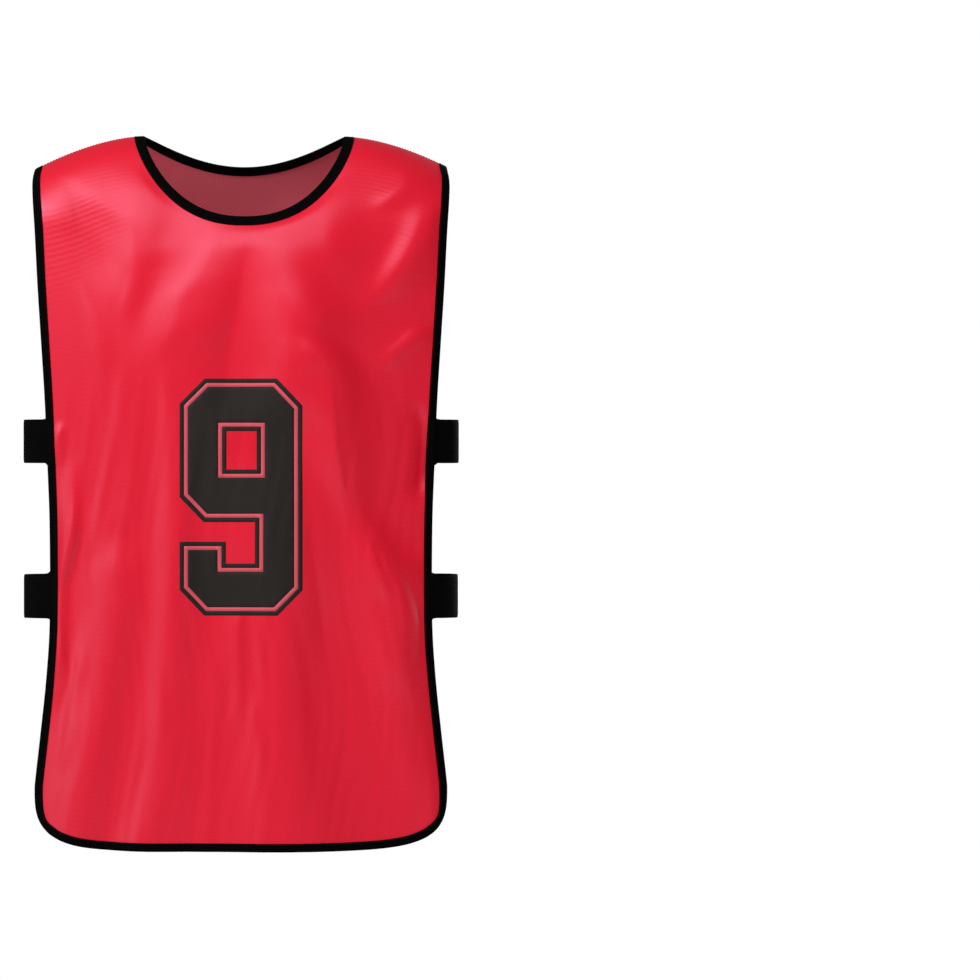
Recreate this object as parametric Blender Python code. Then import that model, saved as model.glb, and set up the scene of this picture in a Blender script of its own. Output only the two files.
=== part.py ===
"""Mesh training bib, in the hollow form that it has when it is worn.

Metres, +Z up, the front faces -Y. The origin is midway between the wearer's shoulders,
level with the neck ends of the shoulder seams. A "drop" is a distance below that level.
"""

import math
from collections import namedtuple

import bmesh
import bpy
from mathutils import Vector
from mathutils.geometry import delaunay_2d_cdt

MM = 0.001

# Cloth and tape
CLOTH = 1.0 * MM
TAPE = 1.0 * MM
GAP = 0.3 * MM
EDGE_TAPE_WIDTH = 7.0 * MM
NECK_TAPE_WIDTH = 9.5 * MM
ELASTIC = 1.5 * MM
ELASTIC_WIDTH = 42.0 * MM

# Neckline and shoulder
NECK_HALF = 98.5 * MM
NECK_SHIFT = 3.1 * MM  # the worn bib hangs a little to one side
SHOULDER_HALF = 199.3 * MM
SHOULDER_TOP = 2.0 * MM
SHOULDER_FALL = 30.0 * MM
SHOULDER_BEND = 1.7
ARCH_AT_NECK = 165.0 * MM
ARCH_AT_TIP = 62.0 * MM
FRONT_NECK_DROP = 83.7 * MM
BACK_NECK_DROP = 29.6 * MM
FRONT_NECK_POWERS = (2.29, 1.435)
BACK_NECK_POWERS = (1.99, 0.85)

# Hem
CORNER_START = 634.0 * MM
HEM_DROP = 693.0 * MM
HEM_HALF = 198.3 * MM
CORNER_POWERS = (6.0, 3.3)

# Side straps: the middle of each and how far it stands out
STRAP_DROPS = {"upper": 299.5 * MM, "lower": 450.5 * MM}
STRAP_REACH = 211.5 * MM
STRAP_TUCK = 13.0 * MM
STRAP_PULLS = (0.45, 0.55)
STRAP_STEPS = 18
STRAP_SEGMENTS = 3

# Mesh spacing: along the edges, closer round the hem corners and shoulder tips, and inside the panels
EDGE_STEP = 17.0 * MM
CORNER_STEP = 11.0 * MM
NECK_STEP = 13.0 * MM
SEAM_STEP = 17.0 * MM
CORNER_TOP_DROP = 600.0 * MM
CORNER_SIDE = 90.0 * MM
TIP_DROP = 110.0 * MM
STEP_FADE = 40.0 * MM
GRID_X = 17.0 * MM
GRID_S = 22.0 * MM
GRID_CLEARANCE = 9.5 * MM
OUTLINE_SAMPLES = 70
NECK_SAMPLES = 160
SLOPE_STEP = 0.5 * MM

# The section of the worn form at each height: the side edges' half width, how far the cloth stands
# in front of and behind the shoulder line at the middle, and at the side edges
Section = namedtuple("Section", "drop half_width front back side")
SECTIONS = [
    Section(0, 197.8, 84, 84, 56),
    Section(33, 199.3, 86, 88, 57),
    Section(45, 200.8, 87, 90, 57),
    Section(61, 200.3, 89, 93, 58),
    Section(94, 197.9, 93, 97, 60),
    Section(149, 195.0, 100, 102, 62),
    Section(204, 191.5, 104, 102, 63),
    Section(259, 188.1, 105, 98, 63),
    Section(327, 185.2, 103, 94, 62),
    Section(382, 183.3, 101, 91, 62),
    Section(478, 183.3, 99, 90, 62),
    Section(532, 186.7, 99, 92, 63),
    Section(587, 192.5, 101, 94, 64),
    Section(642, 198.4, 103, 97, 65),
    Section(700, 201.8, 105, 100, 66),
]

# Folds: where each starts and ends across the cloth and below the shoulder level, its half width at
# both ends and how far it stands out (a trough is negative). One that reaches the hem runs out there.
Fold = namedtuple("Fold", "x0 drop0 x1 drop1 width0 width1 height")
FRONT_FOLDS = [
    Fold(-140, 30, -108, 205, 16, 15, 6.5),
    Fold(-118, 60, -100, 190, 9, 9, -3.0),
    Fold(-32, 100, -90, 215, 13, 13, 6.5),
    Fold(-62, 110, -104, 200, 9, 8, -3.5),
    Fold(-5, 120, -48, 235, 12, 12, -4.0),
    Fold(18, 120, 30, 250, 20, 26, 5.0),
    Fold(62, 120, 66, 230, 18, 16, -3.0),
    Fold(158, 60, 120, 180, 11, 11, 5.0),
    Fold(172, 190, 136, 240, 8, 9, 3.5),
    Fold(-80, 210, -112, 740, 11, 17, 8.0),
    Fold(-104, 260, -142, 740, 9, 20, -6.5),
    Fold(-112, 250, -176, 640, 9, 15, 5.5),
    Fold(-52, 330, -62, 740, 14, 19, -5.5),
    Fold(-20, 400, -28, 740, 13, 18, 5.0),
    Fold(2, 430, 2, 600, 5, 6, -3.5),
    Fold(22, 400, 24, 740, 13, 16, 4.5),
    Fold(60, 330, 78, 740, 13, 24, -7.0),
    Fold(78, 240, 118, 740, 14, 24, 6.0),
    Fold(124, 330, 172, 520, 8, 10, -5.0),
    Fold(112, 290, 158, 560, 9, 14, 4.5),
    Fold(156, 500, 150, 740, 13, 16, -4.0),
]
BACK_FOLDS = [
    Fold(-128, 50, -92, 190, 15, 15, 5.0),
    Fold(128, 40, 98, 200, 16, 14, 5.5),
    Fold(-60, 60, -20, 150, 16, 14, -3.0),
    Fold(54, 70, 30, 170, 15, 14, -2.5),
    Fold(-86, 200, -118, 740, 12, 19, 7.0),
    Fold(-54, 250, -70, 740, 13, 20, -6.0),
    Fold(-18, 290, -30, 740, 13, 18, 5.0),
    Fold(14, 330, 8, 740, 11, 16, -4.5),
    Fold(44, 260, 52, 740, 12, 18, 5.5),
    Fold(74, 300, 92, 740, 12, 19, -6.0),
    Fold(100, 210, 134, 740, 12, 20, 7.0),
    Fold(-120, 280, -160, 540, 9, 14, -4.5),
    Fold(134, 320, 168, 560, 9, 13, -4.0),
]
FOLD_FLARE = 1.5
FOLD_EASE = 0.28
FADE_SIDE = 34.0 * MM
FADE_NECK = 30.0 * MM
FADE_SEAM = 55.0 * MM


def clear_scene():
    for obj in list(bpy.data.objects):
        bpy.data.objects.remove(obj, do_unlink=True)


def material(name, colour, roughness):
    made = bpy.data.materials.new(name)
    made.use_nodes = True
    shader = made.node_tree.nodes["Principled BSDF"]
    shader.inputs["Base Color"].default_value = (*colour, 1.0)
    shader.inputs["Roughness"].default_value = roughness
    shader.inputs["Metallic"].default_value = 0.0
    made.diffuse_color = (*colour, 1.0)
    return made


def ease(value):
    """0 below 0, 1 above 1, and smooth between them."""
    value = min(1.0, max(0.0, value))
    return value * value * (3.0 - 2.0 * value)


def section_at(drop):
    """The form's section at a drop, on a smooth curve through the table's rows."""
    last = len(SECTIONS) - 2
    row = 0
    while row < last and SECTIONS[row + 1].drop * MM < drop:
        row += 1
    before = SECTIONS[max(0, row - 1)]
    low = SECTIONS[row]
    high = SECTIONS[row + 1]
    after = SECTIONS[min(len(SECTIONS) - 1, row + 2)]
    span = (high.drop - low.drop) * MM
    share = min(1.0, max(0.0, (drop - low.drop * MM) / span))
    values = []
    for column in Section._fields[1:]:
        p0, p1, p2, p3 = (getattr(r, column) * MM for r in (before, low, high, after))
        d0, d1, d2, d3 = (r.drop * MM for r in (before, low, high, after))
        slope1 = (p2 - p0) / max(d2 - d0, MM) * span
        slope2 = (p3 - p1) / max(d3 - d1, MM) * span
        a = 2 * p1 - 2 * p2 + slope1 + slope2
        b = -3 * p1 + 3 * p2 - 2 * slope1 - slope2
        values.append(((a * share + b) * share + slope1) * share + p1)
    return Section(drop, *values)


def shoulder_drop(x):
    """How far the shoulder line lies below the origin's level."""
    out = max(0.0, abs(x - NECK_SHIFT) - NECK_HALF) / (SHOULDER_HALF - NECK_HALF)
    return SHOULDER_TOP + SHOULDER_FALL * out**SHOULDER_BEND


def arch(x):
    """How far below the shoulder line the cloth takes to turn from level to hanging."""
    out = (abs(x) - 0.5 * NECK_HALF) / (SHOULDER_HALF - 0.5 * NECK_HALF)
    return ARCH_AT_NECK + (ARCH_AT_TIP - ARCH_AT_NECK) * ease(out)


def to_cloth(x, drop):
    """The cloth coordinates (x, s) of a point of the front view; s runs down the cloth from the seam."""
    below = max(0.0, drop - shoulder_drop(x))
    turn = arch(x)
    if below < turn:
        return x, turn * math.acos(1.0 - below / turn)
    return x, turn * math.pi / 2 + below - turn


def fold_height(folds, x, drop):
    total = 0.0
    for fold in folds:
        along = (drop / MM - fold.drop0) / (fold.drop1 - fold.drop0)
        if not 0.0 < along < 1.0:
            continue
        centre = fold.x0 + (fold.x1 - fold.x0) * along**FOLD_FLARE
        width = fold.width0 + (fold.width1 - fold.width0) * along
        rise = ease(along / FOLD_EASE) * ease((1.0 - along) / FOLD_EASE)
        total += fold.height * MM * rise * math.exp(-(((x / MM - centre) / width) ** 2))
    return total


def neck_curve(side, angle):
    """A point (x, drop) of the neckline; the angle runs from one shoulder, 0, to the other, pi."""
    depth, powers = (
        (FRONT_NECK_DROP, FRONT_NECK_POWERS) if side < 0 else (BACK_NECK_DROP, BACK_NECK_POWERS)
    )
    across = math.cos(angle)
    x = math.copysign(abs(across) ** (2.0 / powers[0]), across) * NECK_HALF
    down = max(0.0, math.sin(angle)) ** (2.0 / powers[1])
    return NECK_SHIFT - x, SHOULDER_TOP + (depth - SHOULDER_TOP) * down


def neck_distance(side, x, drop):
    """How far a point lies outside the neckline, roughly."""
    depth = FRONT_NECK_DROP if side < 0 else BACK_NECK_DROP
    reach = math.hypot((x - NECK_SHIFT) / NECK_HALF, drop / depth)
    return (reach - 1.0) * math.hypot(x - NECK_SHIFT, drop) / max(reach, 0.1)


def surface(side, x, s):
    """The middle of the cloth's thickness. side is -1 for the front and 1 for the back."""
    turn = arch(x)
    if s < turn * math.pi / 2:
        below = turn * (1.0 - math.cos(s / turn))
        out = math.sin(s / turn)
    else:
        below = turn + s - turn * math.pi / 2
        out = 1.0
    drop = shoulder_drop(x) + below
    form = section_at(drop)
    middle = form.front if side < 0 else form.back
    across = min(1.0, abs(x) / form.half_width)
    depth = (form.side + (middle - form.side) * (1.0 - across**2)) * out
    fade = ease((form.half_width - abs(x)) / FADE_SIDE) * ease(below / FADE_SEAM)
    fade *= ease(neck_distance(side, x, drop) / FADE_NECK)
    folds = FRONT_FOLDS if side < 0 else BACK_FOLDS
    depth += fold_height(folds, x, drop) * fade
    return Vector((x, side * depth, -drop))


def slopes(side, x, s):
    """How the surface moves with x and with s."""
    low, high = max(0.0, s - SLOPE_STEP), s + SLOPE_STEP
    along_x = (surface(side, x + SLOPE_STEP, s) - surface(side, x - SLOPE_STEP, s)) / (2 * SLOPE_STEP)
    along_s = (surface(side, x, high) - surface(side, x, low)) / (high - low)
    return along_x, along_s


def normal(side, x, s):
    """The cloth's outward direction."""
    along_x, along_s = slopes(side, x, s)
    return along_x.cross(along_s).normalized() * side


def outer_edge():
    """The outer edge in the front view, from the left shoulder tip round the hem to the right one."""
    halves = []
    for hand in (-1, 1):
        tip_x = hand * section_at(shoulder_drop(hand * SHOULDER_HALF)).half_width
        tip = shoulder_drop(tip_x)
        half = [(tip_x, tip)]
        for i in range(1, OUTLINE_SAMPLES):
            drop = tip + (CORNER_START - tip) * i / OUTLINE_SAMPLES
            half.append((hand * section_at(drop).half_width, drop))
        for i in range(OUTLINE_SAMPLES + 1):
            angle = math.pi / 2 * i / OUTLINE_SAMPLES
            x = HEM_HALF * math.cos(angle) ** (2.0 / CORNER_POWERS[0])
            drop = (HEM_DROP - CORNER_START) * math.sin(angle) ** (2.0 / CORNER_POWERS[1])
            half.append((hand * x, CORNER_START + drop))
        halves.append(half)
    left, right = halves
    return left + right[-2::-1]


def resample(side, line, step_at):
    """Points of a cloth line, evenly spaced on the form, closer together where step_at asks for it."""
    solid = [surface(side, *p) for p in line]
    travelled = [0.0]
    for i in range(1, len(line)):
        length = (solid[i] - solid[i - 1]).length
        travelled.append(travelled[-1] + length / step_at(solid[i]))
    pieces = max(2, 2 * round(travelled[-1] / 2))
    picked = []
    at = 0
    for i in range(pieces + 1):
        want = travelled[-1] * i / pieces
        while at < len(line) - 2 and travelled[at + 1] < want:
            at += 1
        share = (want - travelled[at]) / max(travelled[at + 1] - travelled[at], 1e-12)
        share = min(1.0, max(0.0, share))
        x0, s0 = line[at]
        x1, s1 = line[at + 1]
        picked.append((x0 + (x1 - x0) * share, s0 + (s1 - s0) * share))
    return picked


def edge_frames(side, line, width, turn):
    """For each station of an edge: its cloth point, the cloth point one tape width in, and the unit
    way in. turn is 1 for an edge round the cloth and -1 for one round a hole. At both ends the way
    in runs along the shoulder seam."""
    frames = []
    for i, (x, s) in enumerate(line):
        along_x, along_s = slopes(side, x, s)
        if i in (0, len(line) - 1):
            way = Vector(((turn if i == 0 else -turn) / along_x.length, 0.0))
        else:
            before = surface(side, *line[i - 1])
            after = surface(side, *line[i + 1])
            tangent = (after - before).normalized()
            inward = normal(side, x, s).cross(tangent).normalized() * -side * turn
            a, b, c = along_x.dot(along_x), along_x.dot(along_s), along_s.dot(along_s)
            p, q = inward.dot(along_x), inward.dot(along_s)
            determinant = a * c - b * b
            way = Vector(((p * c - q * b) / determinant, (q * a - p * b) / determinant))
        inner = (x + way.x * width, max(s + way.y * width, 0.0))
        frames.append(((x, s), inner, way))
    return frames


def inside(point, loop):
    """Whether a cloth point lies in a closed loop of cloth points."""
    x, y = point
    found = False
    for i, (x1, y1) in enumerate(loop):
        x0, y0 = loop[i - 1]
        if (y0 > y) != (y1 > y) and x < (x1 - x0) * (y - y0) / (y1 - y0) + x0:
            found = not found
    return found


def distance_to(point, loop):
    """The least distance from a cloth point to a loop's sides."""
    p = Vector(point)
    best = math.inf
    for i, end in enumerate(loop):
        start = Vector(loop[i - 1])
        run = Vector(end) - start
        share = min(1.0, max(0.0, (p - start).dot(run) / max(run.length_squared, 1e-16)))
        best = min(best, (p - start - run * share).length)
    return best


class Panel:
    """The front or the back: its outline, and the tape-wide border that its tapes share with it."""

    def __init__(self, side):
        self.side = side
        turns = [math.pi * i / NECK_SAMPLES for i in range(NECK_SAMPLES + 1)]
        neck = [to_cloth(*neck_curve(side, turn)) for turn in turns]
        outer = [to_cloth(*p) for p in outer_edge()]
        neck_line = resample(side, neck, lambda point: NECK_STEP)
        outer_line = resample(side, outer, self.outer_step)
        self.neck_frames = edge_frames(side, neck_line, NECK_TAPE_WIDTH, -1)
        self.outer_frames = edge_frames(side, outer_line, EDGE_TAPE_WIDTH, 1)

    @staticmethod
    def outer_step(point):
        near_corner = ease((-point.z - CORNER_TOP_DROP) / STEP_FADE)
        near_corner *= ease((abs(point.x) - CORNER_SIDE) / STEP_FADE)
        near_tip = ease((point.z + TIP_DROP) / STEP_FADE)
        return EDGE_STEP + (CORNER_STEP - EDGE_STEP) * max(near_corner, near_tip)

    def seam_start(self, x):
        """The cloth's first s at the shoulder seam, half a gap from the seam's middle."""
        return GAP / 2 / slopes(self.side, x, 0.0)[1].length

    def seam(self, start, end):
        """Points along a shoulder seam between two x, without its ends."""
        pieces = max(1, round(abs(end - start) / SEAM_STEP))
        return [(start + (end - start) * i / pieces, 0.0) for i in range(1, pieces)]

    def mesh(self):
        """The cloth points and triangles of the whole panel, and its outline as indices."""
        neck_edge = [f[0] for f in self.neck_frames]
        neck_ring = [f[1] for f in self.neck_frames]
        outer_edge_points = [f[0] for f in self.outer_frames]
        outer_ring = [f[1] for f in self.outer_frames]
        left_seam = self.seam(neck_ring[0][0], outer_ring[0][0])
        right_seam = self.seam(outer_ring[-1][0], neck_ring[-1][0])
        loop = outer_ring + right_seam + neck_ring[::-1] + left_seam
        grid = []
        columns = math.ceil(SHOULDER_HALF / GRID_X)
        rows = math.ceil(to_cloth(0.0, HEM_DROP)[1] / GRID_S)
        for i in range(-columns, columns + 1):
            for j in range(1, rows):
                point = ((i + 0.5 * (j % 2)) * GRID_X, j * GRID_S)
                if inside(point, loop) and distance_to(point, loop) > GRID_CLEARANCE:
                    grid.append(point)
        count = len(loop)
        edges = [(i, (i + 1) % count) for i in range(count)]
        coords = [Vector(p) for p in loop + grid]
        points, _, faces, _, _, _ = delaunay_2d_cdt(coords, edges, [], 1, 1e-7)
        points = [(p.x, p.y) for p in points]
        if len(points) != len(coords):
            raise ValueError("the border crosses itself")
        faces = [tuple(f) for f in faces]
        first_outer = len(points)
        points += outer_edge_points
        first_neck = len(points)
        points += neck_edge
        ring_neck = len(outer_ring) + len(right_seam)
        for i in range(len(outer_ring) - 1):
            faces.append((first_outer + i, first_outer + i + 1, i + 1))
            faces.append((first_outer + i, i + 1, i))
        for i in range(len(neck_ring) - 1):
            a = ring_neck + len(neck_ring) - 1 - i
            faces.append((first_neck + i, first_neck + i + 1, a - 1))
            faces.append((first_neck + i, a - 1, a))
        return points, faces

    def build(self, name, look):
        points, faces = self.mesh()
        shifted = [(x, max(s, self.seam_start(x))) for x, s in points]
        made = bmesh.new()
        layers = []
        for way in (1.0, -1.0):
            layer = []
            for x, s in shifted:
                place = surface(self.side, x, s)
                layer.append(made.verts.new(place + normal(self.side, x, s) * way * CLOTH / 2))
            layers.append(layer)
        outside, within = layers
        uses = {}
        for face in faces:
            made.faces.new([outside[i] for i in face])
            made.faces.new([within[i] for i in reversed(face)])
            for k in range(3):
                pair = (face[k], face[(k + 1) % 3])
                uses[tuple(sorted(pair))] = uses.get(tuple(sorted(pair)), 0) + 1
        for (a, b), count in uses.items():
            if count == 1:
                made.faces.new((outside[a], outside[b], within[b], within[a]))
        return finish(made, name, look)


def finish(made, name, look):
    """Turns a bmesh into a smooth-shaded object with its faces pointing out."""
    bmesh.ops.recalc_face_normals(made, faces=made.faces)
    mesh = bpy.data.meshes.new(name)
    made.to_mesh(mesh)
    made.free()
    mesh.materials.append(look)
    mesh.shade_smooth()
    mesh.set_sharp_from_angle(angle=math.radians(50))
    obj = bpy.data.objects.new(name, mesh)
    bpy.context.scene.collection.objects.link(obj)
    return obj


def tape_section(side, frame, width):
    """The eight corners of a tape folded over the cloth's edge, outside first."""
    (x, s), inner, way = frame
    edge = surface(side, x, s)
    edge_out = normal(side, x, s)
    along_x, along_s = slopes(side, x, s)
    inward = (along_x * way.x + along_s * way.y).normalized()
    ring = surface(side, *inner)
    ring_out = normal(side, *inner)
    near = CLOTH / 2 + GAP
    far = near + TAPE
    beyond = GAP + TAPE
    return [
        ring + ring_out * far,
        edge - inward * beyond + edge_out * far,
        edge - inward * beyond - edge_out * far,
        ring - ring_out * far,
        ring - ring_out * near,
        edge - inward * GAP - edge_out * near,
        edge - inward * GAP + edge_out * near,
        ring + ring_out * near,
    ]


def seam_section(front, back):
    """Where a tape crosses a shoulder seam, the front's and back's sections share one place."""
    return [(f + b) / 2 for f, b in zip(front, back)]


def tape_loop(name, front, back, kind, width, look):
    """One tape sewn round the whole edge: along the front, over a shoulder, and back along the back."""
    front_frames = getattr(front, kind)
    back_frames = getattr(back, kind)
    front_sections = [tape_section(front.side, f, width) for f in front_frames]
    back_sections = [tape_section(back.side, f, width) for f in back_frames]
    sections = [seam_section(front_sections[0], back_sections[0])]
    sections += front_sections[1:-1]
    sections.append(seam_section(front_sections[-1], back_sections[-1]))
    sections += back_sections[-2:0:-1]
    made = bmesh.new()
    rings = [[made.verts.new(p) for p in section] for section in sections]
    for i, ring in enumerate(rings):
        after = rings[(i + 1) % len(rings)]
        on_front = i < len(front_sections) - 1
        for k in range(len(ring)):
            j = (k + 1) % len(ring)
            # The first corner picks the quad's diagonal: the same one as the cloth beside it
            if (k in (2, 6)) == on_front:
                made.faces.new((ring[k], ring[j], after[j], after[k]))
            else:
                made.faces.new((ring[j], after[j], after[k], ring[k]))
    return finish(made, name, look)


def strap_path(hand, drop):
    """The middle line of an elastic strap at one height, from under the front's edge tape, out round
    the side and in under the back's."""
    seat = CLOTH / 2 + 2 * GAP + TAPE + ELASTIC / 2
    halves = []
    for side in (-1, 1):
        edge = section_at(drop).half_width
        tucked = []
        for inward in (STRAP_TUCK, STRAP_TUCK / 2, 0.0):
            x = hand * (edge - inward)
            place = to_cloth(x, drop)
            tucked.append(surface(side, *place) - normal(side, *place) * seat)
        way = (tucked[2] - tucked[1]).normalized()
        start = tucked[2] + way * (GAP + TAPE)
        turn = Vector((hand * STRAP_REACH, 0.0, -drop))
        pull_start = start + way * (turn - start).length * STRAP_PULLS[0]
        pull_turn = turn + Vector((0.0, side * abs(start.y) * STRAP_PULLS[1], 0.0))
        curve = []
        for i in range(STRAP_STEPS // 2 + 1):
            t = i / (STRAP_STEPS // 2)
            point = start * (1 - t) ** 3 + pull_start * 3 * t * (1 - t) ** 2
            curve.append(point + pull_turn * 3 * t * t * (1 - t) + turn * t**3)
        halves.append(tucked[:2] + curve)
    front, back = halves
    line = front + back[-2::-1]
    return [Vector((p.x, p.y, -drop)) for p in line]


def strap(name, hand, middle, look):
    """A flat elastic band, standing on edge, made of rows of its middle line moved to both sides."""
    rows = []
    for i in range(STRAP_SEGMENTS + 1):
        drop = middle + ELASTIC_WIDTH * (i / STRAP_SEGMENTS - 0.5)
        line = strap_path(hand, drop)
        pair = ([], [])
        for k, point in enumerate(line):
            run = line[min(k + 1, len(line) - 1)] - line[max(k - 1, 0)]
            out = Vector((run.y, -run.x, 0.0)).normalized() * ELASTIC / 2
            pair[0].append(point + out)
            pair[1].append(point - out)
        rows.append(pair)
    made = bmesh.new()
    grids = [[[made.verts.new(p) for p in row[face]] for row in rows] for face in (0, 1)]
    outer, inner = grids
    last_row = len(rows) - 1
    last = len(outer[0]) - 1
    for grid in grids:
        for r in range(last_row):
            for k in range(last):
                made.faces.new((grid[r][k], grid[r][k + 1], grid[r + 1][k + 1], grid[r + 1][k]))
    for r in (0, last_row):
        for k in range(last):
            made.faces.new((outer[r][k], outer[r][k + 1], inner[r][k + 1], inner[r][k]))
    for k in (0, last):
        for r in range(last_row):
            made.faces.new((outer[r][k], outer[r + 1][k], inner[r + 1][k], inner[r][k]))
    return finish(made, name, look)


def main():
    clear_scene()
    cloth = material("mesh_cloth", (0.72, 0.02, 0.04), 0.45)
    tape = material("binding_tape", (0.008, 0.008, 0.009), 0.7)
    elastic = material("side_elastic", (0.006, 0.006, 0.007), 0.8)
    front = Panel(-1)
    back = Panel(1)
    front.build("front_panel", cloth)
    back.build("back_panel", cloth)
    tape_loop("neck_binding", front, back, "neck_frames", NECK_TAPE_WIDTH, tape)
    tape_loop("edge_binding", front, back, "outer_frames", EDGE_TAPE_WIDTH, tape)
    for place, drop in STRAP_DROPS.items():
        strap(f"side_strap_{place}_left", -1, drop, elastic)
        strap(f"side_strap_{place}_right", 1, drop, elastic)


main()
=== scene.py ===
import math

import bpy
import numpy as np
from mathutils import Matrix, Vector, kdtree
from mathutils.geometry import delaunay_2d_cdt


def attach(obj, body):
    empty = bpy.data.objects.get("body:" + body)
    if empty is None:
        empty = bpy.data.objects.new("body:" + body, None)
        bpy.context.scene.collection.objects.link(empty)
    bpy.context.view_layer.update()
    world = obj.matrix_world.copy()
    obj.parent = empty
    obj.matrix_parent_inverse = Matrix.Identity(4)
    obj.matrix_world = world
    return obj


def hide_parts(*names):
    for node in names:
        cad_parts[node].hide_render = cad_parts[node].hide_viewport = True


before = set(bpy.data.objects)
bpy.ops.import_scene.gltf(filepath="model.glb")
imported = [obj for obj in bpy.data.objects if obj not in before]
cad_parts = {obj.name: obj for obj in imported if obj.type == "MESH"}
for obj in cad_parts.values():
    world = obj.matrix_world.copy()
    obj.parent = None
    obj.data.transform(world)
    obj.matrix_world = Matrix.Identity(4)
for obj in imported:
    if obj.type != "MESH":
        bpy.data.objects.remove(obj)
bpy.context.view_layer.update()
mm = 0.001
front, back = -1, 1  # the way that a panel faces along Y
print("frame loaded:", len(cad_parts), "nodes")

# The cut and the form, the same sizes as the solids have. A drop is a distance below the neck ends of the
# shoulder seams.
bib = {
    "neckHalf": 98.5 * mm,
    "neckShift": 3.1 * mm,     # the worn bib hangs a little to one side
    "shoulderHalf": 199.3 * mm,
    "shoulderTop": 2.0 * mm,
    "shoulderFall": 30.0 * mm,
    "shoulderBend": 1.7,
    "archAtNeck": 165.0 * mm,
    "archAtTip": 62.0 * mm,
    "neckDrop": {front: 83.7 * mm, back: 29.6 * mm},
    "neckPowers": {front: (2.29, 1.435), back: (1.99, 0.85)},
    "cornerStart": 634.0 * mm,
    "hemDrop": 693.0 * mm,
    "hemHalf": 198.3 * mm,
    "cornerPowers": (6.0, 3.3),
    "fadeSide": 15.0 * mm,      # the folds die out this near a side edge, the neckline and the shoulder seam
    "fadeNeck": 16.0 * mm,
    "fadeSeam": 26.0 * mm,
}

# Long shallow ripples down the lower body: height, width, how far they wander and over what length, all in
# mm, and phase. They begin below rippleTop and are full at rippleFull.
rippleTop, rippleFull = 190.0 * mm, 330.0 * mm
ripples = [
    (0.16, 12.0, 9.0, 310.0, 0.3),
    (0.22, 17.3, 12.0, 260.0, 2.6),
    (0.30, 27.1, 16.0, 420.0, 4.1),
]

# Sections of the form: drop, half width, stand of the middle in front and behind, and stand of the side
# edges, in mm
sections = np.array([
    (0, 197.8, 84, 84, 56),
    (33, 199.3, 86, 88, 57),
    (45, 200.8, 87, 90, 57),
    (61, 200.3, 89, 93, 58),
    (94, 197.9, 93, 97, 60),
    (149, 195.0, 100, 102, 62),
    (204, 191.5, 104, 102, 63),
    (259, 188.1, 105, 98, 63),
    (327, 185.2, 103, 94, 62),
    (382, 183.3, 101, 91, 62),
    (478, 183.3, 99, 90, 62),
    (532, 186.7, 99, 92, 63),
    (587, 192.5, 101, 94, 64),
    (642, 198.4, 103, 97, 65),
    (700, 201.8, 105, 100, 66),
]) * mm

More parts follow.
